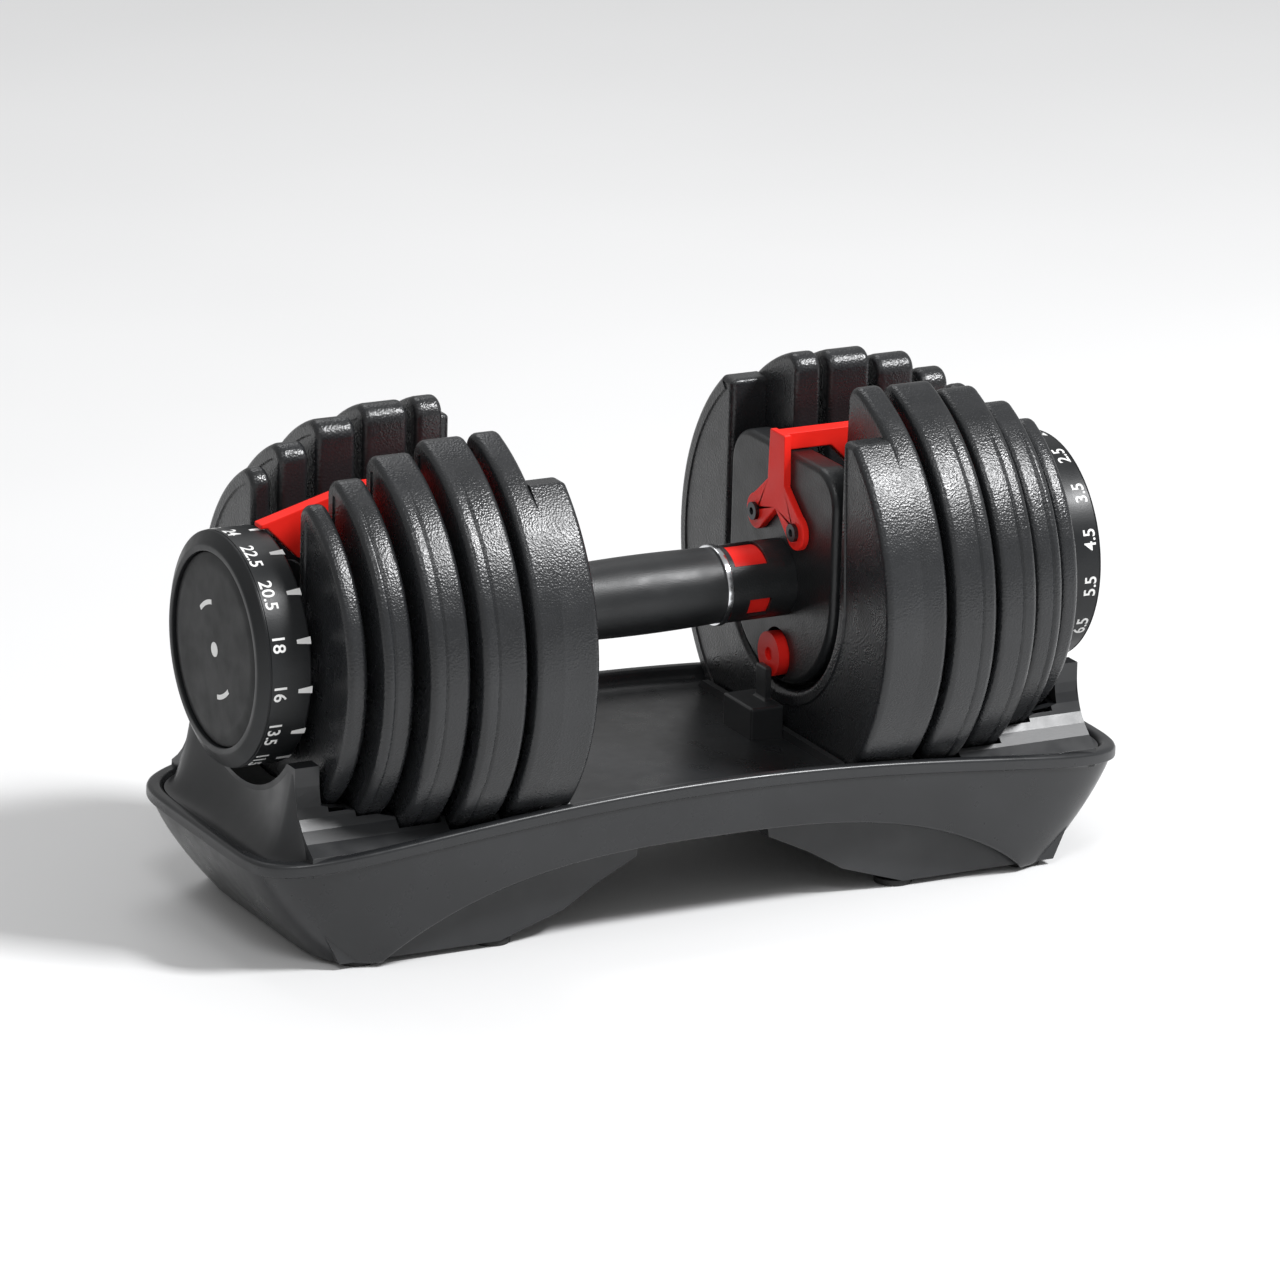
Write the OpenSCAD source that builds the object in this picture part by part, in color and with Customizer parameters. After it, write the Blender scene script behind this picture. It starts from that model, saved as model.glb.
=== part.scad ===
// Adjustable dumbbell in its storage tray.
// Origin: centre of the footprint, on the floor. +X runs along the handle, -Y is the front, +Z is up.
// The dial is drawn at its heaviest setting, with all ten weight plates hooked to the handle.

/* [Handle] */
// Height of the handle axis above the floor
axis_z = 134; // [133:0.5:136]
// Radius of the hand grip at its middle
grip_r = 18.5; // [17.5:0.25:19]
// Half length of the hand grip
grip_half = 35.5; // [34:0.5:36]
// Distance from the middle to the inner face of each hub
hub_x = 72; // [71.5:0.25:72.5]
// Half width of each hub
hub_half = 50.5; // [49:0.5:51]
// Radius of the steel shaft
shaft_r = 10; // [8:0.5:10.5]

/* [Plates] */
// Radius of each weight plate, from the outermost to the innermost
plate_r = [80, 89, 97.5, 102, 102.5];
// Thickness of each weight plate, from the outermost to the innermost
plate_t = [9.5, 14.5, 19.5, 22, 31.5];
// Thickness of the steel core in each plate, which sets the weight of that plate
core_t = [4.1, 6.6, 4, 16.8, 27.5];
// Distance from the middle to the inner face of the innermost plate
plates_x = 73; // [73:0.25:73.5]
// Gap between neighbouring plates, where a selector disc turns
plate_gap = 4; // [3.8:0.1:4.2]
// Half width of the slot that lets the handle lift out of the plates
slot_half = 24; // [23:0.5:25]

/* [Selector] */
// Radius of the selector tube
tube_r = 21; // [19:0.5:21.5]
// Radius of the selector discs
disc_r = 36; // [34:0.5:37]
// Angle between two weight settings on the dial
setting_step = 24; // [24:1:24]
// Radius of the dial
dial_r = 53.8; // [52:0.2:55]
// Distance from the middle to the inner face of the dial
dial_x = 192; // [191.5:0.5:192.5]
// Width of the dial along the handle
dial_w = 24; // [23:0.5:25]

/* [Tray] */
// Half length of the tray at its rim
tray_half_l = 224; // [223:0.5:228]
// Half width of the tray at its rim
tray_half_w = 84; // [83:0.5:88]
// Height of the rim at the corners
rim_z = 53; // [52:0.5:54]
// Rise of the rim towards the middle of the long sides
rim_rise = 17; // [15:0.5:18]
// Height of the arch under the middle of the tray
arch_z = 43; // [38:0.5:44]
// Half span of the arch in the front and back walls
arch_half = 165; // [155:1:168]
// Wall thickness of the mouldings
wall = 3; // [2.6:0.1:3.2]

/* [Hidden] */
$fn = 96;

LEFT = -1;
RIGHT = 1;
SIDES = [LEFT, RIGHT];
fit = 0.05;          // radial clearance of the tube on the shaft
far = 300;           // longer than any piece, for cutting tools
eps = 0.01;

// Weight settings (0 lightest, 14 heaviest) at which each plate is hooked, outermost plate first
hooked_at = [
    [1, 3, 5, 7, 14],
    [2, 3, 4, 5, 9, 10, 12, 13, 14],
    [4, 5, 10, 13, 14],
    [6, 7, 11, 12, 13, 14],
    [8, 9, 10, 11, 12, 13, 14]
];
top_setting = 14;
settings = top_setting + 1;

function total(v, first) = first >= len(v) ? 0 : v[first] + total(v, first + 1);
// Inner and outer faces of plate k, where k = 0 is the outermost
function inner_face(k) = plates_x + total(plate_t, k + 1) + plate_gap * (len(plate_t) - 1 - k);
function outer_face(k) = inner_face(k) + plate_t[k];

// Clearances of the plates
seat_gap = 0.8;
core_skin = [5, 5, 5, 5, 3];
rim_round = 4;
flat_top = 80;       // height above the axis where the thick half of the innermost plate stops
thick_half = 18;     // width of that thick half
hub_gap = 3;         // clearance between that thick half and the hub inside it

// Hooks between a disc and its plate
hook_angle = 48;
hook_gap = 0.3;
hook_depth = 1.3;
web_t = 1.5;
arc_w = 3;
arc_span = 20;
tab_w = 3.6;
tab_gap = 0.4;

// Hub and lock pin
hub_w = 14;
hub_top = 61.5;      // height of the hub's flat top above the axis
hub_corner = 18;
pin_drop = 37;
pin_r = 10.5;
pin_stem_r = 4;
pin_proud = 4.5;
pin_head = 10;
pin_recess_r = 12.3;
pin_recess_depth = 5.8;
spring_bore_r = 8;
spring_bore_depth = 10.5;
spring_wire = 0.4;
spring_r = 6;
blade_t = 3;
blade_half = 5;
blade_gap = 0.6;

// Bridge
fork_t = 3.5;
lobe_y = 19;
lobe_z = 27;
lobe_r = 8.5;
stem_half = 8;
bridge_top = 70;
arm_t = 8;
web_half = 4;
web_low = 39.5;
pointer_x = 194.5;
pointer_z = 56.6;
screw_r = 2.5;

// Detent
detent_r = 16;
dimple_r = 1.5;
plunger_r = 2.5;

// Tray
deck_drop = 8;
tub_x0 = 69;
arch_leg_x = 32;     // inner end of the legs that carry the cradles under the deck
tub_x1 = 201;
post_x0 = 52;
post_half = 14;
post_top = 76;
foot_xs = [104, 172];
foot_y = 60;
foot_r = 9;
foot_h = 3;
boss_r = 6;
boss_top = 20;
foot_screw_r = 2;

// Mirrors a piece drawn for the right side over to the asked side
module on(side) {
    mirror([side < 0 ? 1 : 0, 0, 0]) children();
}

// Turns a shape drawn round +Z so that it lies round the handle axis, starting at distance x
module along_axis(x) {
    translate([x, 0, axis_z]) rotate([0, 90, 0]) children();
}

module disc(x0, x1, r) {
    along_axis(x0) cylinder(h = x1 - x0, r = r);
}

module ring(x0, x1, inner_r, outer_r) {
    difference() {
        disc(x0, x1, outer_r);
        disc(x0 - 1, x1 + 1, inner_r);
    }
}

// A disc whose two rims are rounded
module rounded_disc(x0, x1, r, round_r) {
    width = x1 - x0;
    along_axis(x0) rotate_extrude() {
        square([r - round_r, width]);
        translate([0, round_r]) square([r, width - 2 * round_r]);
        for (y = [round_r, width - round_r])
            translate([r - round_r, y]) intersection() {
                circle(r = round_r);
                translate([-round_r, -round_r]) square([2 * round_r, 2 * round_r]);
            }
    }
}

// A slice of a wheel round the handle axis, centred on an angle measured from the top
module wedge(x0, x1, angle, span) {
    reach = 2 * disc_r;
    translate([x0, 0, axis_z]) rotate([angle, 0, 0]) rotate([90, 0, 90])
        linear_extrude(x1 - x0)
            polygon([[0, 0], for (a = [-1, 1]) [a * reach * tan(span / 2), reach]]);
}

// ---- Weight plates ----

// The U-shaped slot, open at the top, widened by grow
module plate_slot(k, grow) {
    x0 = inner_face(k) - 1;
    x1 = outer_face(k) + 1;
    disc(x0, x1, slot_half + grow);
    translate([x0, -slot_half - grow, axis_z]) cube([x1 - x0, 2 * (slot_half + grow), far]);
}

// The wide opening in the thick half of the innermost plate, where the hub sits
module hub_opening(grow) {
    half = hub_half + hub_gap + grow;
    x1 = plates_x + thick_half + grow;
    disc(plates_x - 1, x1, half);
    translate([plates_x - 1, -half, axis_z]) cube([x1 - plates_x + 1, 2 * half, far]);
}

module core_shape(k) {
    x0 = inner_face(k) + (plate_t[k] - core_t[k]) / 2;
    skin = core_skin[k];
    difference() {
        disc(x0, x0 + core_t[k], plate_r[k] - skin);
        plate_slot(k, skin);
        if (k == 4) {
            translate([0, -far / 2, axis_z + flat_top - skin]) cube(far);
            hub_opening(skin);
        }
    }
}

module weight_plate(k) {
    color("#2b2d30") {
        difference() {
            rounded_disc(inner_face(k), outer_face(k), plate_r[k], rim_round);
            plate_slot(k, 0);
            core_shape(k);
            if (k == 4) {
                translate([inner_face(k) - 1, -far / 2, axis_z + flat_top])
                    cube([thick_half + 1, far, far]);
                hub_opening(0);
            }
        }
        hook_tab(k);
    }
}

// The tab on the outer face of a plate that the arcs of its selector disc catch
module hook_tab(k) {
    x0 = outer_face(k);
    intersection() {
        ring(x0 - eps, x0 + hook_gap + hook_depth, disc_r + tab_gap, disc_r + tab_gap + tab_w);
        wedge(x0 - 1, x0 + 5, -hook_angle, arc_span);
    }
}

module plate_core(k) {
    color("#8d9196") core_shape(k);
}

// ---- Selector and dial ----

module selector_disc(k) {
    x0 = outer_face(k) + hook_gap;
    x1 = x0 + hook_depth;
    color("#3a3c40") {
        ring(x1, x1 + web_t, tube_r, disc_r);
        for (setting = hooked_at[k])
            intersection() {
                ring(x0, x1 + eps, disc_r - arc_w, disc_r);
                wedge(x0 - 1, x1 + 1, -hook_angle + (setting - top_setting) * setting_step, arc_span);
            }
    }
}

module selector_tube() {
    x0 = hub_x + hub_w + 0.3;
    color("#6f7378") difference() {
        ring(x0, dial_x, shaft_r + fit, tube_r);
        for (i = [0 : settings - 1])
            translate([x0, 0, axis_z]) rotate([i * setting_step, 0, 0])
                translate([-dimple_r / 2, 0, detent_r]) sphere(r = dimple_r, $fn = 20);
    }
}

module dial() {
    rim_t = 3.3;
    bevel = 3.5;
    face_r = 44.5;
    cap_z = dial_w - 7.5;
    color("#232427") along_axis(dial_x) rotate_extrude() polygon([
        [shaft_r + fit, 0], [dial_r, 0], [dial_r, dial_w - bevel], [dial_r - 6, dial_w],
        [face_r, dial_w], [face_r, cap_z], [dial_r - rim_t, cap_z - bevel], [dial_r - rim_t, 4],
        [shaft_r + fit, 4]
    ]);
}

module dial_cap() {
    face_r = 44.5;
    color("#1d1e20") along_axis(dial_x + dial_w - 7.5) rotate_extrude() polygon([
        [0, 0], [face_r, 0], [face_r, 2.5], [face_r - 6, 3.6], [0, 3.6]
    ]);
}

// ---- Handle ----

module handle_shaft() {
    end_x = dial_x + 4.3;
    color("#9a9da1") difference() {
        disc(-end_x, end_x, shaft_r);
        for (side = SIDES) on(side) disc(end_x - 18, end_x + 1, 3);
    }
}

module end_screws() {
    end_x = dial_x + 4.3;
    color("#9a9da1") for (side = SIDES) on(side) difference() {
        union() {
            disc(end_x - 16, end_x, 3);
            disc(end_x, end_x + 5, 14);
        }
        disc(end_x + 2, end_x + 6, 3.5);
    }
}

module grip_sleeve() {
    crown = 0.8;
    bow_r = (grip_half * grip_half + crown * crown) / (2 * crown);
    color("#303236") difference() {
        along_axis(-grip_half) rotate_extrude() intersection() {
            square([grip_r, 2 * grip_half]);
            translate([grip_r - bow_r, grip_half]) circle(r = bow_r, $fn = 720);
        }
        disc(-far / 2, far / 2, shaft_r);
    }
}

module grip_collars() {
    color("#d4d6d9") for (side = SIDES) on(side)
        ring(grip_half, grip_half + 3, shaft_r, grip_r + 0.5);
}

module neck_sleeve() {
    x0 = grip_half + 3;
    window_depth = 20;
    color("#26272a") difference() {
        ring(x0, hub_x, grip_r - 2, grip_r - 0.4);
        wedge(x0 + 3, x0 + window_depth, 15, 66);
        wedge(x0 + 9, x0 + window_depth, 118, 34);
    }
}

module neck_cores() {
    color("#e03a36") for (side = SIDES) on(side)
        ring(grip_half + 3, hub_x, shaft_r, grip_r - 2);
}

// Outline of the hub seen along the handle: round below, with a flat top and rounded corners
module hub_outline() {
    circle(r = hub_half);
    translate([-hub_half, 0]) square([2 * hub_half, hub_top - hub_corner]);
    translate([-hub_half + hub_corner, 0]) square([2 * (hub_half - hub_corner), hub_top]);
    for (s = [-1, 1])
        translate([s * (hub_half - hub_corner), hub_top - hub_corner]) circle(r = hub_corner);
}

module hub() {
    x1 = hub_x + hub_w;
    color("#26272a") difference() {
        translate([hub_x, 0, axis_z]) rotate([90, 0, 90]) linear_extrude(hub_w) hub_outline();
        disc(hub_x - 1, x1 + 1, shaft_r);
        translate([0, 0, -pin_drop]) {
            disc(hub_x - 1, hub_x + pin_recess_depth, pin_recess_r);
            disc(hub_x, hub_x + spring_bore_depth, spring_bore_r);
            disc(hub_x, x1 + 1, pin_stem_r + fit);
        }
        for (s = [-1, 1])
            translate([0, s * lobe_y, lobe_z]) disc(hub_x - 1, hub_x + 8, screw_r);
        translate([0, 0, detent_r]) disc(x1 - 6, x1 + 1, plunger_r);
    }
}

module detent_plungers() {
    length = 6.15;
    color("#c0c2c5") for (side = SIDES) on(side) translate([0, 0, detent_r])
        along_axis(hub_x + hub_w - 6) rotate_extrude() polygon([
            [0, 0], [plunger_r, 0], [plunger_r, length - 0.9], [plunger_r - 0.9, length], [0, length]
        ]);
}

// Red bridge: a fork on the hub, a stem, and an arm over the plates that ends in the pointer
module bridge() {
    fork_x = hub_x - fork_t;
    arm_low = bridge_top - arm_t;
    color("#e4342f") difference() {
        union() {
            for (s = [-1, 1])
                translate([0, s * lobe_y, lobe_z]) disc(fork_x, hub_x, lobe_r);
            translate([fork_x, 0, axis_z]) rotate([90, 0, 90]) linear_extrude(fork_t) polygon([
                [-stem_half + 1, bridge_top], [-stem_half, 46], [-lobe_y - 7.5, lobe_z + 4],
                [-lobe_y + 5, lobe_z - 6.5], [0, lobe_z + 6], [lobe_y - 5, lobe_z - 6.5],
                [lobe_y + 7.5, lobe_z + 4], [stem_half, 46], [stem_half - 1, bridge_top]
            ]);
            translate([0, web_half, axis_z]) rotate([90, 0, 0]) linear_extrude(2 * web_half) polygon([
                [fork_x, bridge_top], [146, bridge_top], [pointer_x, pointer_z], [pointer_x, pointer_z - 2],
                [dial_x - 0.6, pointer_z - 2], [dial_x - 15.7, web_low], [118, web_low], [95, arm_low],
                [hub_x, arm_low], [hub_x, arm_low - 5], [fork_x, arm_low - 5]
            ]);
        }
        for (s = [-1, 1])
            translate([0, s * lobe_y, lobe_z]) disc(fork_x - 1, hub_x + 1, screw_r);
    }
}

module bridge_screws() {
    fork_x = hub_x - fork_t;
    color("#b9bcc0") for (side = SIDES, s = [-1, 1]) on(side)
        translate([0, s * lobe_y, lobe_z]) difference() {
            union() {
                disc(fork_x, hub_x + 7, screw_r);
                disc(fork_x - 2, fork_x, 4.2);
            }
            disc(fork_x - 3, fork_x - 0.8, 1.8);
        }
}

module lock_pin() {
    head_x = hub_x - pin_proud;
    color("#e4342f") translate([0, 0, -pin_drop]) difference() {
        union() {
            disc(head_x, head_x + pin_head, pin_r);
            disc(head_x + pin_head, hub_x + hub_w - 0.5, pin_stem_r);
        }
        disc(head_x - 1, head_x + 2, 3.2);
    }
}

module lock_spring() {
    x0 = hub_x - pin_proud + pin_head + spring_wire;
    x1 = hub_x + spring_bore_depth - spring_wire;
    coils = 5;
    color("#c0c2c5") translate([0, 0, -pin_drop]) for (i = [0 : coils - 1])
        along_axis(x0 + (x1 - x0) * i / (coils - 1)) rotate_extrude()
            translate([spring_r, 0]) circle(r = spring_wire, $fn = 24);
}

// ---- Tray ----

function rim_height(x) = rim_z + rim_rise * pow(max(0, 1 - pow(x / tray_half_l, 2)), 1.3);
function arch_height(x) = 2 + (arch_z - 2) * pow(max(0, 1 - pow(x / arch_half, 2)), 0.8);

// Points of a curve over x from -span to span
function curve_x(span, steps) = [for (i = [0 : steps]) span * (2 * i / steps - 1)];

// Outline of the tray seen from above: a rounded box with bowed ends, shrunk by inset
module plan_outline(inset) {
    a = tray_half_l - inset;
    b = tray_half_w - inset;
    steps = 72;
    polygon([for (i = [0 : steps - 1])
        let (t = 360 * i / steps)
        [a * sign(cos(t)) * pow(abs(cos(t)), 2 / 7), b * sign(sin(t)) * pow(abs(sin(t)), 2 / 7)]]);
}

// Side view of the tray between the arch and a line that lies drop below the rim
module side_outline(inset, drop) {
    end_low = 190;
    ends = [[224, 49], [218, 40], [206, 18], [197, 5], [end_low, 2]];
    polygon([
        for (x = curve_x(tray_half_l, 28)) [x, rim_height(x) - drop],
        for (p = ends) [p[0] + tray_half_l - 224 - inset, p[1]],
        for (x = curve_x(-arch_half, 22)) [x, arch_height(x)],
        for (i = [len(ends) - 1 : -1 : 0]) [-ends[i][0] - tray_half_l + 224 + inset, ends[i][1]]
    ]);
}

// Solid form of the tray, with end walls that lean in towards the floor
module tray_form(inset, drop) {
    lean = 5;
    intersection() {
        translate([0, far / 2, 0]) rotate([90, 0, 0]) linear_extrude(far) side_outline(inset, drop);
        linear_extrude(far) plan_outline(inset);
        translate([-far, 0, 0]) rotate([90, 0, 90]) linear_extrude(2 * far) polygon([
            [-tray_half_w + inset, far], [-tray_half_w + inset, rim_z],
            [-tray_half_w + lean + inset, 0], [tray_half_w - lean - inset, 0],
            [tray_half_w - inset, rim_z], [tray_half_w - inset, far]
        ]);
    }
}

// A curved sheet that follows the rim, between two depths below it
module deck_band(upper, lower) {
    xs = curve_x(tray_half_l, 28);
    translate([0, far / 2, 0]) rotate([90, 0, 0]) linear_extrude(far) polygon([
        for (x = xs) [x, rim_height(x) - upper],
        for (i = [len(xs) - 1 : -1 : 0]) [xs[i], rim_height(xs[i]) - lower]
    ]);
}

module tray_shell() {
    color("#26282b") difference() {
        union() {
            difference() {
                tray_form(0, 0);
                translate([0, 0, -far]) linear_extrude(2 * far) plan_outline(20);
                intersection() {
                    tray_form(wall, -far);
                    deck_band(-far, deck_drop);
                }
                intersection() {
                    tray_form(wall, -far);
                    deck_band(deck_drop + wall, far);
                }
            }
            intersection() {
                tray_form(wall - 0.5, 0);
                deck_band(deck_drop, deck_drop + wall);
            }
        }
        for (side = SIDES) on(side) {
            tub_form();
            post_block();
            plate_room();
        }
    }
}

// Space that the plates of one side take in the tray
module plate_room() {
    for (k = [0 : 4])
        disc(inner_face(k) - seat_gap, outer_face(k) + seat_gap, plate_r[k] + seat_gap);
}

// Outside of one cradle tub: feet at the bottom, flared sides, a bulkhead beside the dial
module tub_form() {
    low = foot_h;
    flare_z = 57;
    bulkhead_z = 93;
    flare_steps = 8;
    side_wall = [
        [70, low], [66, 44], [76, 48], [76, flare_z],
        for (i = [1 : flare_steps])
            let (share = i / flare_steps)
            [56 + 20 * pow(1 - share, 3), flare_z + (bulkhead_z - flare_z) * share]
    ];
    intersection() {
        translate([0, far / 2, 0]) rotate([90, 0, 0]) linear_extrude(far) polygon([
            [tub_x0, 64], [tub_x0, 51], [arch_leg_x, 51], [arch_leg_x + 2, 33], [55, 23], [72, 13],
            [104, low], [184, low], [196, 26], [tub_x1, 50], [tub_x1, bulkhead_z], [189, bulkhead_z],
            [189, 75], [146, 65]
        ]);
        translate([-1, 0, 0]) rotate([90, 0, 90]) linear_extrude(far) polygon([
            for (p = side_wall) [-p[0], p[1]],
            for (i = [len(side_wall) - 1 : -1 : 0]) side_wall[i]
        ]);
    }
}

module cradle() {
    pocket_half = 60;
    color("#2f3134") difference() {
        union() {
            difference() {
                tub_form();
                for (k = [0 : 4])
                    difference() {
                        translate([inner_face(k), -pocket_half, 0])
                            cube([plate_t[k], 2 * pocket_half, axis_z]);
                        disc(inner_face(k) - 1, outer_face(k) + 1, plate_r[k] + seat_gap + wall);
                    }
                translate([arch_leg_x + wall, -62, -1])
                    cube([tub_x0 - arch_leg_x - wall, 124, 49]);
            }
            for (x = foot_xs, s = [-1, 1])
                translate([x, s * foot_y, foot_h]) cylinder(h = boss_top - foot_h, r = boss_r);
        }
        plate_room();
        disc(outer_face(0), far, dial_r + 9);
        for (x = foot_xs, s = [-1, 1])
            translate([x, s * foot_y, 0]) cylinder(h = 18, r = foot_screw_r);
    }
}

module post_block() {
    translate([post_x0, -post_half, 51]) cube([tub_x0 - post_x0, 2 * post_half, post_top - 51]);
}

// Posts beside the hubs, each with a blade that keeps the lock pin pressed in at rest
module release_posts() {
    color("#2f3134") for (side = SIDES) on(side) {
        post_block();
        translate([hub_x - pin_proud - blade_gap - blade_t, -blade_half, post_top - eps])
            cube([blade_t, 2 * blade_half, 16]);
    }
}

module rubber_feet() {
    color("#141414") for (side = SIDES, x = foot_xs, s = [-1, 1]) on(side)
        translate([x, s * foot_y, 0]) difference() {
            cylinder(h = foot_h, r = foot_r);
            translate([0, 0, -1]) cylinder(h = foot_h + 2, r = foot_screw_r);
            translate([0, 0, -1]) cylinder(h = 2.8, r = 4.2);
        }
}

module tray_screws() {
    color("#b9bcc0") for (side = SIDES, x = foot_xs, s = [-1, 1]) on(side)
        translate([x, s * foot_y, 0]) {
            translate([0, 0, 0.6]) cylinder(h = 1.2, r = 4);
            translate([0, 0, 0.6]) cylinder(h = 15, r = foot_screw_r);
        }
}

tray_shell();
on(LEFT) cradle();  // cradle_left
on(RIGHT) cradle();  // cradle_right
release_posts();
rubber_feet();
tray_screws();
handle_shaft();
grip_sleeve();
grip_collars();
on(LEFT) neck_sleeve();  // neck_sleeve_left
on(RIGHT) neck_sleeve();  // neck_sleeve_right
neck_cores();
on(LEFT) hub();  // hub_left
on(RIGHT) hub();  // hub_right
on(LEFT) bridge();  // bridge_left
on(RIGHT) bridge();  // bridge_right
bridge_screws();
on(LEFT) lock_pin();  // lock_pin_left
on(RIGHT) lock_pin();  // lock_pin_right
on(LEFT) lock_spring();  // lock_spring_left
on(RIGHT) lock_spring();  // lock_spring_right
detent_plungers();
end_screws();
on(LEFT) selector_tube();  // selector_tube_left
on(RIGHT) selector_tube();  // selector_tube_right
on(LEFT) dial();  // dial_left
on(RIGHT) dial();  // dial_right
on(LEFT) dial_cap();  // dial_cap_left
on(RIGHT) dial_cap();  // dial_cap_right
for (k = [0 : 4]) {
    on(LEFT) selector_disc(k);
    on(RIGHT) selector_disc(k);
    on(LEFT) weight_plate(k);
    on(RIGHT) weight_plate(k);
    on(LEFT) plate_core(k);
    on(RIGHT) plate_core(k);
}
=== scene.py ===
"""Looks of the adjustable dumbbell and its storage tray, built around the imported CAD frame.

Shapes are worked out in millimetres round the handle axis and written to meshes in metres.
"""
import math

import bmesh
import bpy
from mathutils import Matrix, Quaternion, Vector


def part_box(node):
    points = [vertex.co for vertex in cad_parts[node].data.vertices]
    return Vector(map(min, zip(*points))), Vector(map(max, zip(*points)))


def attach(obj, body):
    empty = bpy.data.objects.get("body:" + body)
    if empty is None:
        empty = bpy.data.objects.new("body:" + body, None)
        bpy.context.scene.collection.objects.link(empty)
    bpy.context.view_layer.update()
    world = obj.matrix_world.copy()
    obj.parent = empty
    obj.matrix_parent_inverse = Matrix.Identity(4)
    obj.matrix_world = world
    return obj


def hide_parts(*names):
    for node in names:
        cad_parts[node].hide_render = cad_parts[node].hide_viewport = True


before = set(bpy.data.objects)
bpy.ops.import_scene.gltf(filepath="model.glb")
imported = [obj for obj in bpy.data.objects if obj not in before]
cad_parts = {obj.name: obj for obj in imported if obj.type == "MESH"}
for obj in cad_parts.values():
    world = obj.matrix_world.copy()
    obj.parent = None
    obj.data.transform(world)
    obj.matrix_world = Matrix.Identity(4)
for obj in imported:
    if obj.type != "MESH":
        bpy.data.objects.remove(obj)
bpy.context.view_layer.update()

MM = 0.001
SIDES = {"left": -1, "right": 1}
PLATES = range(1, 6)                       # 1 is the outermost plate
SETTINGS = [
    "2.5", "3.5", "4.5", "5.5", "6.5", "8", "9", "10", "11.5", "13.5", "16", "18", "20.5", "22.5", "24",
]
SETTING_STEP = 360 / len(SETTINGS)


def box_mm(node):
    """Lowest and highest corner of a CAD node, in millimetres."""
    low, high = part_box(node)
    return low / MM, high / MM


AXIS_Z = sum(corner.z for corner in box_mm("handle_shaft")) / 2


# ---- Materials ----

class Shader:
    """A node tree with one Principled shader, in object coordinates, in metres."""

    def __init__(self, name):
        self.material = bpy.data.materials.new(name)
        self.material.use_nodes = True
        self.tree = self.material.node_tree
        self.bsdf = self.tree.nodes["Principled BSDF"]
        self.place = self.tree.nodes.new("ShaderNodeTexCoord").outputs["Object"]

    def node(self, kind, **settings):
        made = self.tree.nodes.new("ShaderNode" + kind)
        for key, value in settings.items():
            setattr(made, key, value)
        return made

    def join(self, output, target):
        self.tree.links.new(output, target)

    def noise(self, scale, detail=2, stretch=None):
        made = self.node("TexNoise")
        made.inputs["Scale"].default_value = scale
        made.inputs["Detail"].default_value = detail
        place = self.place
        if stretch:
            mapping = self.node("Mapping")
            mapping.inputs["Scale"].default_value = stretch
            self.join(self.place, mapping.inputs["Vector"])
            place = mapping.outputs["Vector"]
        self.join(place, made.inputs["Vector"])
        return made.outputs["Fac"]

    def cells(self, scale):
        made = self.node("TexVoronoi", feature="SMOOTH_F1")
        made.inputs["Scale"].default_value = scale
        made.inputs["Smoothness"].default_value = 0.4
        self.join(self.place, made.inputs["Vector"])
        return made.outputs["Distance"]

    def span(self, value, low, high, start=0.3, end=0.7):
        """Value, taken from start..end to low..high."""
        made = self.node("MapRange")
        for key, number in zip(("From Min", "From Max", "To Min", "To Max"), (start, end, low, high)):
            made.inputs[key].default_value = number
        self.join(value, made.inputs["Value"])
        return made.outputs["Result"]

    def blend(self, factor, first, second):
        made = self.node("Mix", data_type="RGBA")
        self.join(factor, made.inputs["Factor"])
        for key, colour in (("A", first), ("B", second)):
            socket = next(s for s in made.inputs if s.name == key and s.type == "RGBA")
            if isinstance(colour, tuple):
                socket.default_value = (*colour, 1)
            else:
                self.join(colour, socket)
        return next(s for s in made.outputs if s.type == "RGBA")

    def bump(self, height, distance, strength=1.0, under=None):
        made = self.node("Bump")
        made.inputs["Distance"].default_value = distance
        made.inputs["Strength"].default_value = strength
        self.join(height, made.inputs["Height"])
        if under:
            self.join(under, made.inputs["Normal"])
        return made.outputs["Normal"]


def moulding(name, colour, roughness, grain, depth, worn=0.25, mottle=0.12, shine=0.5):
    """Moulded or coated surface: grain of a pitch and depth in mm, a mottled tone, rubbed edges."""
    shader = Shader(name)
    lighter = tuple(min(1, c * (1 + mottle)) for c in colour)
    darker = tuple(c * (1 - mottle) for c in colour)
    cloud = shader.noise(28, 4)
    tone = shader.blend(shader.span(cloud, 0, 1, 0.35, 0.65), darker, lighter)
    edge = shader.span(shader.node("NewGeometry").outputs["Pointiness"], 0, worn, 0.52, 0.62)
    rubbed = tuple(min(1, c * 1.9 + 0.02) for c in colour)
    shader.join(shader.blend(edge, tone, rubbed), shader.bsdf.inputs["Base Color"])
    patches = shader.noise(90, 3)
    rough = shader.span(patches, roughness - 0.05, roughness + 0.06)
    shader.join(rough, shader.bsdf.inputs["Roughness"])
    fine = shader.bump(shader.noise(1000 / grain * 2.2, 2), depth * MM * 0.5, 0.8)
    pitted = shader.bump(shader.cells(1000 / grain), depth * MM, 0.8, fine)
    shader.join(pitted, shader.bsdf.inputs["Normal"])
    shader.bsdf.inputs["Specular IOR Level"].default_value = shine
    return shader.material


def machined(name, colour, roughness, depth=0.004):
    """Turned or plated metal with fine lines round the handle axis and faint smudges."""
    shader = Shader(name)
    lines = shader.noise(4, 3, stretch=(60, 900, 900))
    smudge = shader.noise(120, 4)
    shade = tuple(c * 0.82 for c in colour)
    tone = shader.blend(shader.span(smudge, 0, 1), shade, colour)
    shader.join(tone, shader.bsdf.inputs["Base Color"])
    rough = shader.span(smudge, roughness - 0.04, roughness + 0.08)
    shader.join(rough, shader.bsdf.inputs["Roughness"])
    shader.join(shader.bump(lines, depth * MM, 0.6), shader.bsdf.inputs["Normal"])
    shader.bsdf.inputs["Metallic"].default_value = 1
    return shader.material


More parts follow.
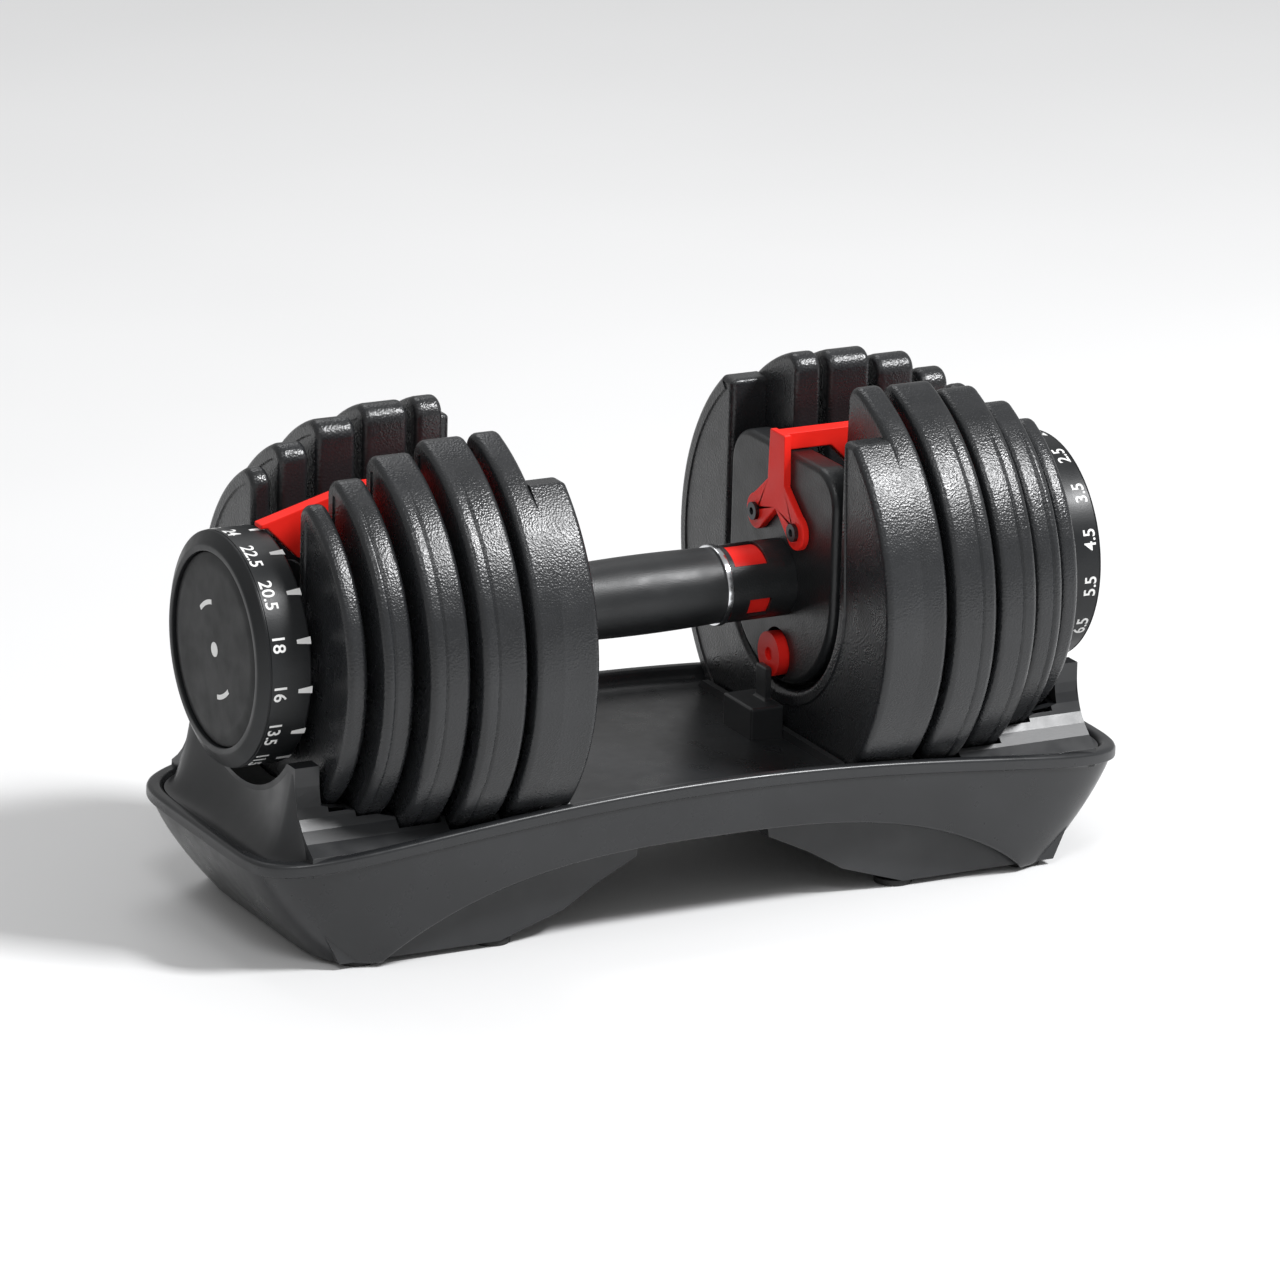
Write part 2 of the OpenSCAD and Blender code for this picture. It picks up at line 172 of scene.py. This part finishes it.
PLATE_BLACK = moulding("plate_coating", (0.016, 0.017, 0.0185), 0.27, 1.0, 0.17, shine=0.5)
TRAY_BLACK = moulding("tray_moulding", (0.017, 0.018, 0.0195), 0.30, 0.6, 0.012, worn=0.35)
CRADLE_BLACK = moulding("cradle_moulding", (0.018, 0.019, 0.0205), 0.34, 0.6, 0.012, worn=0.35)
HUB_BLACK = moulding("hub_moulding", (0.012, 0.013, 0.014), 0.36, 0.9, 0.08, shine=0.42)
DIAL_BLACK = moulding("dial_moulding", (0.012, 0.013, 0.014), 0.36, 0.5, 0.03, shine=0.3)
CAP_BLACK = moulding("cap_moulding", (0.007, 0.0075, 0.008), 0.42, 0.6, 0.02, shine=0.18)
GRIP_BLACK = moulding("grip_rubber", (0.016, 0.017, 0.018), 0.40, 0.6, 0.05, shine=0.42)
PAINTED = {"worn": 0.0, "mottle": 0.05, "shine": 0.2}
RED_PAINT = moulding("red_paint", (0.88, 0.022, 0.014), 0.42, 0.8, 0.03, **PAINTED)
RED_PLASTIC = moulding("red_moulding", (0.85, 0.020, 0.014), 0.42, 0.6, 0.03, **PAINTED)
WHITE_PRINT = moulding("white_print", (0.80, 0.80, 0.79), 0.55, 0.4, 0.02, worn=0.0, mottle=0.04)
FOOT_RUBBER = moulding("foot_rubber", (0.015, 0.015, 0.015), 0.75, 0.7, 0.08)
NYLON = moulding("nylon", (0.16, 0.17, 0.18), 0.5, 0.6, 0.03)
CHROME = machined("bright_chrome", (0.84, 0.85, 0.87), 0.14)
STEEL = machined("turned_steel", (0.52, 0.53, 0.55), 0.30, 0.008)
DISC_STEEL = machined("pressed_steel", (0.20, 0.205, 0.215), 0.38, 0.006)
DARK_STEEL = machined("blackened_steel", (0.07, 0.072, 0.076), 0.36, 0.004)


# ---- Meshes ----

def add(name, points, faces, material, body, replaced=(), sharp=35):
    """Makes a piece from points in millimetres, with smooth faces and crisp edges."""
    mesh = bpy.data.meshes.new(name)
    mesh.from_pydata([Vector(p) * MM for p in points], [], faces)
    mesh.materials.append(material)
    piece = bpy.data.objects.new(name, mesh)
    bpy.context.scene.collection.objects.link(piece)
    tidy = bmesh.new()
    tidy.from_mesh(mesh)
    bmesh.ops.remove_doubles(tidy, verts=tidy.verts, dist=0.01 * MM)
    bmesh.ops.recalc_face_normals(tidy, faces=tidy.faces)
    tidy.to_mesh(mesh)
    tidy.free()
    mesh.shade_smooth()
    mesh.set_sharp_from_angle(angle=math.radians(sharp))
    normals = piece.modifiers.new("even_shading", "WEIGHTED_NORMAL")
    normals.keep_sharp = True
    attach(piece, body)
    if replaced:
        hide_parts(*replaced)
    return piece


def strips(rings, count, closed_ends=True):
    """Faces that join rings of count points each, with a cap on each end if asked."""
    faces = [
        (r * count + i, r * count + (i + 1) % count, (r + 1) * count + (i + 1) % count, (r + 1) * count + i)
        for r in range(rings - 1)
        for i in range(count)
    ]
    if closed_ends:
        faces.append(tuple(reversed(range(count))))
        faces.append(tuple(range((rings - 1) * count, rings * count)))
    return faces


def turned(profile, side, steps=144):
    """Points and faces of a closed (distance, radius) profile turned round the handle axis."""
    points = [
        (side * x, r * math.sin(math.tau * i / steps), AXIS_Z + r * math.cos(math.tau * i / steps))
        for x, r in profile
        for i in range(steps)
    ]
    faces = strips(len(profile), steps, closed_ends=False)
    last = (len(profile) - 1) * steps
    faces += [(last + i, last + (i + 1) % steps, (i + 1) % steps, i) for i in range(steps)]
    return points, faces


def shoulder(round_r):
    """(Depth, inset) pairs over a rounded edge, from the flat face out to the rim."""
    turns = [math.radians(a) for a in range(0, 91, 15)]
    return [(round_r * (1 - math.cos(t)), round_r * (1 - math.sin(t))) for t in turns]


def arc(y, z, radius, start, end, steps, hollow=False):
    """Points of an outline along an arc. A hollow arc curves into the shape."""
    return [
        (y, z, radius, math.radians(start + (end - start) * i / steps), hollow) for i in range(steps + 1)
    ]


def outline_point(corner, inset):
    y, z, radius, angle, hollow = corner
    reach = radius + inset if hollow else max(radius - inset, 0.02)
    return y + reach * math.cos(angle), z + reach * math.sin(angle)


def loft(outline, rings, side):
    """Points and faces of an outline carried through rings of (distance, inset) along the handle.
    An inset is a number of millimetres, or a function of the outline's point."""
    points = []
    for x, inset in rings:
        for corner in outline:
            depth = inset(corner) if callable(inset) else inset
            y, z = outline_point(corner, depth)
            points.append((side * x, y, AXIS_Z + z))
    return points, strips(len(rings), len(outline))


def merge(*parts):
    """Joins several (points, faces) into one."""
    points, faces = [], []
    for part_points, part_faces in parts:
        base = len(points)
        points += part_points
        faces += [tuple(base + i for i in face) for face in part_faces]
    return points, faces


# ---- Weight plates ----

SLOT_HALF = 24
CORNER = 8
HOOK_PROUD = 1.6
HOOK_ANGLE = 48                            # from the top, towards the back
FLAT_TOP = 80
THICK_HALF = 18
HUB_ROOM = 53.5                            # half width of the opening for the hub
RIM_ROUND = 3.2
PANEL_INSET = 6.6                          # width of the raised border round a plate's face
PANEL_DROP = 0.7
GROOVES = {2: [0.66], 3: [0.62], 4: [0.66]}    # where the rims are grooved, as a share of the width


def slot_bottom():
    return arc(0, 0, SLOT_HALF, 0, -180, 28, hollow=True)


def round_outline(radius):
    """A disc with a U-shaped slot open at the top, its two corners rounded."""
    corner_y = SLOT_HALF + CORNER
    corner_z = math.sqrt((radius - CORNER) ** 2 - corner_y ** 2)
    lean = math.degrees(math.atan2(corner_z, corner_y))
    return (
        arc(0, 0, radius, 180 - lean, 360 + lean, 120)
        + arc(corner_y, corner_z, CORNER, lean, 180, 10)
        + slot_bottom()
        + arc(-corner_y, corner_z, CORNER, 0, 180 - lean, 10)
    )


def flat_outline(radius, top, room):
    """The thick half of the innermost disc: cut off flat above, and open wide for the hub."""
    corner = 2.5
    side_z = top - corner
    side_y = math.sqrt((radius - corner) ** 2 - side_z ** 2)
    lean = math.degrees(math.atan2(side_z, side_y))
    room_y = room + corner
    return (
        arc(0, 0, radius, 180 - lean, 360 + lean, 110)
        + arc(side_y, side_z, corner, lean, 90, 6)
        + arc(room_y, side_z, corner, 90, 180, 6)
        + arc(0, 0, room, 0, -180, 60, hollow=True)
        + arc(-room_y, side_z, corner, 0, 90, 6)
        + arc(-side_y, side_z, corner, 90, 180 - lean, 6)
    )


def on_rim(depth, radius):
    """An inset that only the round rim takes, fading out near its ends."""
    def inset(corner):
        if corner[2] != radius:
            return 0
        height = math.sin(corner[3])
        return depth * min(1, max(0, (0.86 - height) / 0.1))
    return inset


def plate_rings(x0, x1, radius, grooves):
    """Rings of a plate from its inner to its outer face, with moulded grooves round its rim."""
    rings = [(x0 + PANEL_DROP, 7.4), (x0, PANEL_INSET)]
    rings += [(x0 + depth, inset) for depth, inset in shoulder(RIM_ROUND)]
    for at in grooves:
        x = x0 + at * (x1 - x0)
        rings += [
            (x - 1.1, 0), (x - 0.6, on_rim(0.35, radius)), (x, on_rim(0.6, radius)),
            (x + 0.6, on_rim(0.35, radius)), (x + 1.1, 0),
        ]
    rings += [(x1 - depth, inset) for depth, inset in reversed(shoulder(RIM_ROUND))]
    rings += [(x1, PANEL_INSET), (x1 - PANEL_DROP, 7.4)]
    return rings


def above_flat(depth):
    """An inset that only the part above the flat top takes."""
    def inset(corner):
        _, z = outline_point(corner, 0)
        return depth * min(1, max(0, (z - FLAT_TOP + 8) / 8))
    return inset


def hook_tab(x, inner_r, outer_r, side):
    """The tab on a plate's outer face that its selector disc catches."""
    span = 10
    middle = 90 - HOOK_ANGLE
    outline = arc(0, 0, outer_r, middle - span, middle + span, 12) + arc(
        0, 0, inner_r, middle + span, middle - span, 12, hollow=True
    )
    return loft(outline, [(x - 0.2, 0), (x + HOOK_PROUD - 0.3, 0), (x + HOOK_PROUD, 0.3)], side)


def weight_plate(number, name, side):
    """A plate's moulded shell. The innermost one has a thick half with a wide opening for the hub."""
    node = f"weight_plate_{name}_{number}"
    low, high = box_mm(node)
    x0, x1 = sorted((abs(low.x), abs(high.x)))
    x1 -= HOOK_PROUD
    radius = high.y
    whole = plate_rings(x0, x1, radius, GROOVES.get(number, []))
    if number < 5:
        parts = [loft(round_outline(radius), whole, side)]
    else:
        step_x = x0 + THICK_HALF
        thick = [ring for ring in whole if ring[0] < x0 + THICK_HALF / 2]
        thick += [(step_x + 0.4, 0), (step_x + 0.4, 3)]
        thin = [(step_x, above_flat(PANEL_INSET))]
        thin += [(step_x + depth, above_flat(inset)) for depth, inset in shoulder(RIM_ROUND)]
        thin += [ring for ring in whole if ring[0] > x1 - 4]
        parts = [
            loft(flat_outline(radius, FLAT_TOP, HUB_ROOM), thick, side),
            loft(round_outline(radius), thin, side),
        ]
    parts.append(hook_tab(x1, 36.4, 40, side))
    points, faces = merge(*parts)
    body = f"plate_{name}_{number}"
    add(body, points, faces, PLATE_BLACK, body, [node])


# ---- Dials ----

CAP_PROUD = 3                              # the cap stands almost level with the dial's end


def dial_body(name, side):
    """The dial's ring: a plain drum with a grooved edge, a bevel and a seat for the cap."""
    node = f"dial_{name}"
    low, high = box_mm(node)
    x0, x1 = sorted((abs(low.x), abs(high.x)))
    radius = high.y
    lip, face_r, floor_x, bore_r = 6, 44.5, x1 - 7.5, 10.1
    profile = [(x0, bore_r), (x0, radius - 4)]
    profile += [(x0 + depth, radius - inset) for depth, inset in shoulder(1.2)]
    profile += [
        (x1 - 4.4, radius), (x1 - 4.2, radius - 0.35), (x1 - 3.8, radius - 0.35),
        (x1 - 3.5, radius - 0.1), (x1 - 3.1, radius - 0.3), (x1 - 0.5, radius - lip + 0.7),
        (x1 - 0.1, radius - lip - 0.2), (x1, radius - lip - 0.8), (x1, face_r + 0.6),
        (x1 - 0.3, face_r + 0.15), (x1 - 1, face_r), (floor_x, face_r), (floor_x - 1, face_r),
        (floor_x - 3, radius - 3.3), (x0 + 4, radius - 3.3), (x0 + 4, bore_r),
    ]
    points, faces = turned(profile, side, 180)
    add(f"dial_ring_{name}", points, faces, DIAL_BLACK, node, [node])


def dial_cap(name, side):
    """The dial's flat cap, with two white arcs and a dot."""
    node = f"dial_cap_{name}"
    low, high = box_mm(node)
    x0, x1 = sorted((abs(low.x), abs(high.x)))
    radius = high.y
    x1 += CAP_PROUD
    profile = [
        (x0, 0.1), (x0, radius - 0.15), (x1 - 1.4, radius - 0.15), (x1 - 0.9, radius - 0.5),
        (x1 - 0.6, radius - 1.4), (x1 - 0.25, radius - 4.2), (x1 - 0.06, radius - 5.6),
        (x1, radius - 7.5), (x1, 0.1),
    ]
    points, faces = turned(profile, side, 144)
    add(f"cap_{name}", points, faces, CAP_BLACK, f"dial_{name}", [node])

    print_rings = [(x1 - 0.1, 0), (x1 + 0.12, 0), (x1 + 0.2, 0.1)]
    marks = [loft(arc(0, 0, 3.4, 0, 345, 23), print_rings, side)]
    for first, last in ((45, 80), (225, 260)):
        outline = arc(0, 0, 22.6, first, last, 20) + arc(0, 0, 20.4, last, first, 20, hollow=True)
        marks.append(loft(outline, print_rings, side))
    points, faces = merge(*marks)
    add(f"cap_marks_{name}", points, faces, WHITE_PRINT, f"dial_{name}")


def label(text, size, height):
    """Points and faces of a short text as a thin solid, centred on the origin, in millimetres."""
    curve = bpy.data.curves.new("label", "FONT")
    curve.body = text
    curve.size = size
    curve.align_x = "CENTER"
    curve.align_y = "CENTER"
    curve.extrude = height / 2
    curve.offset = 0.012 * size
    curve.resolution_u = 3
    holder = bpy.data.objects.new("label", curve)
    bpy.context.scene.collection.objects.link(holder)
    mesh = bpy.data.meshes.new_from_object(holder.evaluated_get(bpy.context.evaluated_depsgraph_get()))
    points = [tuple(v.co) for v in mesh.vertices]
    faces = [tuple(p.vertices) for p in mesh.polygons]
    bpy.data.objects.remove(holder)
    bpy.data.curves.remove(curve)
    bpy.data.meshes.remove(mesh)
    return points, faces


def dial_print(name, side):
    """Numbers and ticks on the dial's rim. The heaviest setting is under the pointer."""
    low, high = box_mm(f"dial_{name}")
    x0, x1 = sorted((abs(low.x), abs(high.x)))
    radius = high.y
    tick = [(-0.9, -3.4), (0.9, -3.4), (1.7, 3.4), (-1.7, 3.4)]
    half_thick = 0.15
    parts = []
    for index, text in enumerate(reversed(SETTINGS)):
        bar = [(u, v + 12.5, h) for h in (-half_thick, half_thick) for u, v in tick]
        points, faces = merge(label(text, 8.6, 2 * half_thick), (bar, strips(2, len(tick))))
        angle0 = math.radians(index * SETTING_STEP)
        wrapped = []
        for u, v, h in points:
            angle = angle0 + u / radius
            r = radius + h
            x = -(x1 - 8.2) + v
            wrapped.append((x, -r * math.sin(angle), r * math.cos(angle)))
        if side > 0:
            wrapped = [(-x, -y, z) for x, y, z in wrapped]
        parts.append(([(x, y, z + AXIS_Z) for x, y, z in wrapped], faces))
    points, faces = merge(*parts)
    add(f"dial_numbers_{name}", points, faces, WHITE_PRINT, f"dial_{name}")


# ---- Handle ----

HUB_CORNER = 18


def hub_outline(half, top, corner):
    """Round below the handle, straight sides and two rounded corners above."""
    return (
        arc(0, 0, half, 180, 360, 72)
        + arc(half - corner, top - corner, corner, 0, 90, 14)
        + arc(-half + corner, top - corner, corner, 90, 180, 14)
    )


def hub(name, side):
    """Hub with a rounded edge, and a round recess for the lock pin."""
    node = f"hub_{name}"
    low, high = box_mm(node)
    x0, x1 = sorted((abs(low.x), abs(high.x)))
    half, top = high.y, high.z - AXIS_Z
    rings = [(x0 + depth, inset) for depth, inset in shoulder(3)]
    rings += [(x1 - depth, inset) for depth, inset in reversed(shoulder(3))]
    points, faces = loft(hub_outline(half, top, HUB_CORNER), rings, side)
    piece = add(f"hub_shell_{name}", points, faces, HUB_BLACK, "handle", [node])
    pin_low, pin_high = box_mm(f"lock_pin_{name}")
    pin_z, pin_r = (pin_low.z + pin_high.z) / 2, (pin_high.y - pin_low.y) / 2
    cut(piece, bore(side, x0 - 1, x0 + 5.8, pin_z, pin_r + 1.8))
    cut(piece, bore(side, x0 + 1, x0 + 10.5, pin_z, 8))
    cut(piece, bore(side, x0 + 1, x1 + 1, pin_z, 4.1))
    cut(piece, bore(side, x0 - 1, x1 + 1, AXIS_Z, 10.02))


def bore(side, x0, x1, z, radius, steps=48):
    """A round cutter along the handle."""
    points = [
        (side * x, radius * math.cos(math.tau * i / steps), z + radius * math.sin(math.tau * i / steps))
        for x in (x0, x1)
        for i in range(steps)
    ]
    return points, strips(2, steps)


def cut(piece, shape):
    """Cuts a closed shape out of a piece and makes the result its mesh."""
    points, faces = shape
    mesh = bpy.data.meshes.new("cutter")
    mesh.from_pydata([Vector(p) * MM for p in points], [], faces)
    tidy = bmesh.new()
    tidy.from_mesh(mesh)
    bmesh.ops.recalc_face_normals(tidy, faces=tidy.faces)
    tidy.to_mesh(mesh)
    tidy.free()
    cutter = bpy.data.objects.new("cutter", mesh)
    bpy.context.scene.collection.objects.link(cutter)
    piece.modifiers.clear()
    boolean = piece.modifiers.new("cut", "BOOLEAN")
    boolean.operation = "DIFFERENCE"
    boolean.solver = "EXACT"
    boolean.object = cutter
    bpy.context.view_layer.update()
    result = bpy.data.meshes.new_from_object(piece.evaluated_get(bpy.context.evaluated_depsgraph_get()))
    piece.modifiers.clear()
    piece.data = result
    bpy.data.objects.remove(cutter)
    result.shade_smooth()
    result.set_sharp_from_angle(angle=math.radians(35))
    normals = piece.modifiers.new("even_shading", "WEIGHTED_NORMAL")
    normals.keep_sharp = True


# ---- Tray ----

TRAY_HALF_L, TRAY_HALF_W = (corner for corner in box_mm("tray_shell")[1].xy)
RIM_Z, RIM_RISE = 53, 17
ARCH_Z, ARCH_HALF = 43, 165
WALL = 3
DECK_DROP = 8


def rim_height(x):
    return RIM_Z + RIM_RISE * max(0, 1 - (x / TRAY_HALF_L) ** 2) ** 1.3


def arch_height(x):
    return 2 + (ARCH_Z - 2) * max(0, 1 - abs(x / ARCH_HALF) ** 2.8) ** 0.85


def plan(turn, half_l, half_w):
    """A point of the tray's outline seen from above, at a share of the way round."""
    c, s = math.cos(math.tau * turn), math.sin(math.tau * turn)
    reach = (abs(c) ** 7 + abs(s) ** 7) ** (-1 / 7)
    return half_l * c * reach, half_w * s * reach


def skirt_point(turn, share, inset):
    """A point of the wall under the rim, at a share of the way from its lower edge to the rim."""
    z = RIM_Z * share
    x = y = 0
    for _ in range(4):
        end = 34 * max(0, 1 - z / 51) ** 1.4
        lean = 5 * max(0, 1 - z / RIM_Z)
        x, y = plan(turn, TRAY_HALF_L - inset - end, TRAY_HALF_W - inset - lean)
        low = arch_height(x)
        z = low + (rim_height(x) - 7 - low) * share
    return x, y, z


def tray():
    """The tray's outer moulding: skirt, lip, coved flange and saddle-shaped deck, as one closed shell."""
    steps = 360
    rings = []

    def skirt_ring(share, inset, lift=0.0):
        wall = [skirt_point(i / steps, share, inset) for i in range(steps)]
        rings.append([(x, y, z + lift) for x, y, z in wall])

    def deck_ring(inset, drop, scale=1.0):
        ring = []
        for i in range(steps):
            x, y = plan(i / steps, TRAY_HALF_L - inset, TRAY_HALF_W - inset)
            x, y = x * scale, y * scale
            ring.append((x, y, rim_height(x) - drop))
        rings.append(ring)

    # top side, from the middle of the deck out to the lip
    inner = 22
    for scale in (0.02, 0.12, 0.24, 0.36, 0.48, 0.6, 0.72, 0.84, 0.94):
        deck_ring(inner, DECK_DROP, scale)
    for inset, drop in (
        (22, 8.0), (16, 7.9), (12, 7.5), (9.4, 6.6), (7.7, 5.3), (6.7, 3.6), (6.2, 2.2), (5.7, 1.1),
        (4.9, 0.35), (4.0, 0.05), (2.0, 0.0), (1.1, 0.2), (0.4, 0.8), (0.0, 1.8), (0.0, 5.2),
        (0.2, 5.8), (0.8, 6.2), (1.2, 6.4),
    ):
        deck_ring(inset, drop)
    # outside of the skirt, down to its rounded lower edge
    for share in (1.0, 0.97, 0.9, 0.8, 0.7, 0.6, 0.5, 0.4, 0.3, 0.2, 0.12, 0.05, 0.02):
        skirt_ring(share, 1.2)
    skirt_ring(0.0, 1.5)
    skirt_ring(0.0, 2.2, -0.5)
    skirt_ring(0.0, WALL, -0.5)
    skirt_ring(0.0, WALL + 0.8, 0.1)
    # inside of the skirt and underside of the deck
    for share in (0.05, 0.2, 0.4, 0.6, 0.8, 0.95):
        skirt_ring(share, WALL + 1.2)
    for inset, drop in ((5.5, 8.4), (8, 9.8), (12, 10.6), (22, 11)):
        deck_ring(inset, drop)
    for scale in (0.94, 0.84, 0.72, 0.6, 0.48, 0.36, 0.24, 0.12, 0.02):
        deck_ring(inner, DECK_DROP + WALL, scale)

    points = [p for ring in rings for p in ring]
    faces = strips(len(rings), steps)
    piece = add("tray_moulding", points, faces, TRAY_BLACK, "tray", ["tray_shell"])
    for side in SIDES.values():
        cut(piece, tub_opening(side))


def tub_opening(side):
    """Cutter for the opening in the deck that a cradle fills."""
    x0, x1, half, small, large = 70, 200, 75, 6, 26
    outline = []
    for cx, cy, start, corner in (
        (x1 - large, half - large, 0, large), (x0 + small, half - small, 90, small),
        (x0 + small, -half + small, 180, small), (x1 - large, -half + large, 270, large),
    ):
        turns = [math.radians(start + a) for a in range(0, 91, 15)]
        outline += [(cx + corner * math.cos(t), cy + corner * math.sin(t)) for t in turns]
    points = [(side * x, y, z) for z in (30, 110) for x, y in outline]
    return points, strips(2, len(outline))


def end_fairing(name, side):
    """Smooth hollow that runs from the top of a cradle's bulkhead down to the lip at the tray's end."""
    start_x = max(abs(corner.x) for corner in box_mm(f"cradle_{name}")) - 0.5
    dial_room, wing, below_axis, foot_z, half = 63.8, 56, 41, 57, 75
    top_z = AXIS_Z - below_axis
    across, along = 72, 14

    def top_height(y):
        """Height of the bulkhead: round under the dial, level on the wings, then down the flange."""
        reach = abs(y)
        if reach < math.sqrt(dial_room ** 2 - below_axis ** 2):
            return AXIS_Z - math.sqrt(dial_room ** 2 - reach ** 2)
        if reach <= wing:
            return top_z
        return top_z - (top_z - foot_z) * ((reach - wing) / 20) ** (1 / 3)

    points = []
    for thickness in (0, 2):
        for i in range(across + 1):
            turn = -1 + 2 * i / across
            y0 = half * turn
            y1 = (TRAY_HALF_W - 9) * turn
            end_x = (TRAY_HALF_L - 7) * (1 - abs(y1 / (TRAY_HALF_W - 6)) ** 7) ** (1 / 7)
            end_z = rim_height(end_x) - 2.2
            start_z = top_height(y0)
            for j in range(along + 1):
                share = j / along
                x = start_x + (max(end_x, start_x + 1) - start_x) * share
                z = end_z + (start_z - end_z) * (1 - share) ** 2.4
                points.append((side * x, y0 + (y1 - y0) * share, z - thickness))
    row, sheet = along + 1, (across + 1) * (along + 1)
    faces = []
    for i in range(across):
        for j in range(along):
            a = i * row + j
            faces.append((a, a + 1, a + row + 1, a + row))
            faces.append((sheet + a + row, sheet + a + row + 1, sheet + a + 1, sheet + a))
    rim = [i * row for i in range(across + 1)] + [across * row + j for j in range(1, row)]
    rim += [i * row + along for i in range(across - 1, -1, -1)] + list(range(along - 1, 0, -1))
    faces += [(a, b, sheet + b, sheet + a) for a, b in zip(rim, rim[1:] + rim[:1])]
    add(f"cradle_end_{name}", points, faces, CRADLE_BLACK, "tray", sharp=60)


# ---- CAD nodes that keep their shape ----

def dress(node, material, bevel=0.0, segments=2):
    """Gives a CAD node its material, and edges rounded by bevel millimetres where they are sharp."""
    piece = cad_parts[node]
    for entry in piece.material_slots:
        entry.material = material
    if bevel:
        weld = piece.modifiers.new("weld", "WELD")
        weld.merge_threshold = 0.01 * MM
        rounding = piece.modifiers.new("edges", "BEVEL")
        rounding.width = bevel * MM
        rounding.segments = segments
        rounding.limit_method = "ANGLE"
        rounding.angle_limit = math.radians(40)
        normals = piece.modifiers.new("even_shading", "WEIGHTED_NORMAL")
        normals.keep_sharp = True


# ---- Stage ----

def stage():
    """Pale floor, a bright room and three soft lights."""
    floor_mesh = bpy.data.meshes.new("floor")
    grid = bmesh.new()
    bmesh.ops.create_grid(grid, x_segments=8, y_segments=8, size=14)
    grid.to_mesh(floor_mesh)
    grid.free()
    paper = Shader("studio_paper")
    shade = paper.noise(3, 2)
    paper.join(
        paper.blend(paper.span(shade, 0, 1), (0.78, 0.78, 0.78), (0.80, 0.80, 0.80)),
        paper.bsdf.inputs["Base Color"],
    )
    paper.bsdf.inputs["Roughness"].default_value = 0.9
    paper.bsdf.inputs["Specular IOR Level"].default_value = 0.1
    floor_mesh.materials.append(paper.material)
    floor = bpy.data.objects.new("floor", floor_mesh)
    bpy.context.scene.collection.objects.link(floor)

    world = bpy.data.worlds.new("studio")
    bpy.context.scene.world = world
    world.use_nodes = True
    world.node_tree.nodes["Background"].inputs["Color"].default_value = (0.945, 0.945, 0.945, 1)
    world.node_tree.nodes["Background"].inputs["Strength"].default_value = 0.44

    def softbox(name, place, size, power, target=(0, 0, 0.1)):
        data = bpy.data.lights.new(name, "AREA")
        data.shape = "RECTANGLE"
        data.size, data.size_y = size
        data.energy = power
        data.color = (0.985, 0.99, 1.0)
        light = bpy.data.objects.new(name, data)
        light.location = place
        light.rotation_euler = (Vector(target) - Vector(place)).to_track_quat("-Z", "Y").to_euler()
        bpy.context.scene.collection.objects.link(light)

    softbox("key", (-1.0, -1.3, 2.1), (0.7, 0.6), 12)
    softbox("top", (1.2, -1.15, 2.05), (0.5, 0.45), 70)
    softbox("back", (0.2, 1.3, 2.2), (1.4, 0.9), 12)


ROLL = 1.57                                # degrees that the camera is turned about its line of sight


def camera():
    """A long lens, to the left of the front and a little above."""
    azimuth, elevation, distance = math.radians(27.86), math.radians(17.66), 3.8417
    target = Vector((0, 0, 0.109))
    back = Vector((
        -math.sin(azimuth) * math.cos(elevation), -math.cos(azimuth) * math.cos(elevation), math.sin(elevation)
    ))
    data = bpy.data.cameras.new("camera")
    data.lens = 235
    data.sensor_width = 36
    data.clip_end = 60
    eye = bpy.data.objects.new("camera", data)
    eye.location = target + back * distance
    aim = Vector((0, 0, 0.112))
    look = (aim - eye.location).to_track_quat("-Z", "Y") @ Quaternion((0, 0, 1), math.radians(ROLL))
    eye.rotation_euler = look.to_euler()
    bpy.context.scene.collection.objects.link(eye)
    bpy.context.scene.camera = eye


# ---- Assembly ----

for side_name, side_sign in SIDES.items():
    for plate_number in PLATES:
        weight_plate(plate_number, side_name, side_sign)
        dress(f"plate_core_{side_name}_{plate_number}", STEEL)
        dress(f"selector_disc_{side_name}_{plate_number}", DISC_STEEL)
    dial_body(side_name, side_sign)
    dial_cap(side_name, side_sign)
    dial_print(side_name, side_sign)
    hub(side_name, side_sign)
    dress(f"selector_tube_{side_name}", NYLON)
    dress(f"neck_sleeve_{side_name}", HUB_BLACK, 0.3)
    dress(f"bridge_{side_name}", RED_PAINT, 0.7, 3)
    dress(f"lock_pin_{side_name}", RED_PLASTIC, 0.8, 3)
    dress(f"lock_spring_{side_name}", STEEL)
    dress(f"cradle_{side_name}", CRADLE_BLACK, 0.8)
    end_fairing(side_name, side_sign)
tray()
dress("release_posts", CRADLE_BLACK, 1.0)
dress("rubber_feet", FOOT_RUBBER, 0.4)
dress("tray_screws", STEEL, 0.2)
dress("handle_shaft", STEEL, 0.4)
dress("grip_sleeve", GRIP_BLACK)
dress("grip_collars", CHROME, 0.4)
dress("neck_cores", RED_PLASTIC)
dress("bridge_screws", DARK_STEEL, 0.3)
dress("detent_plungers", STEEL)
dress("end_screws", STEEL, 0.4)

stage()
camera()
bpy.context.scene.view_settings.view_transform = "Standard"
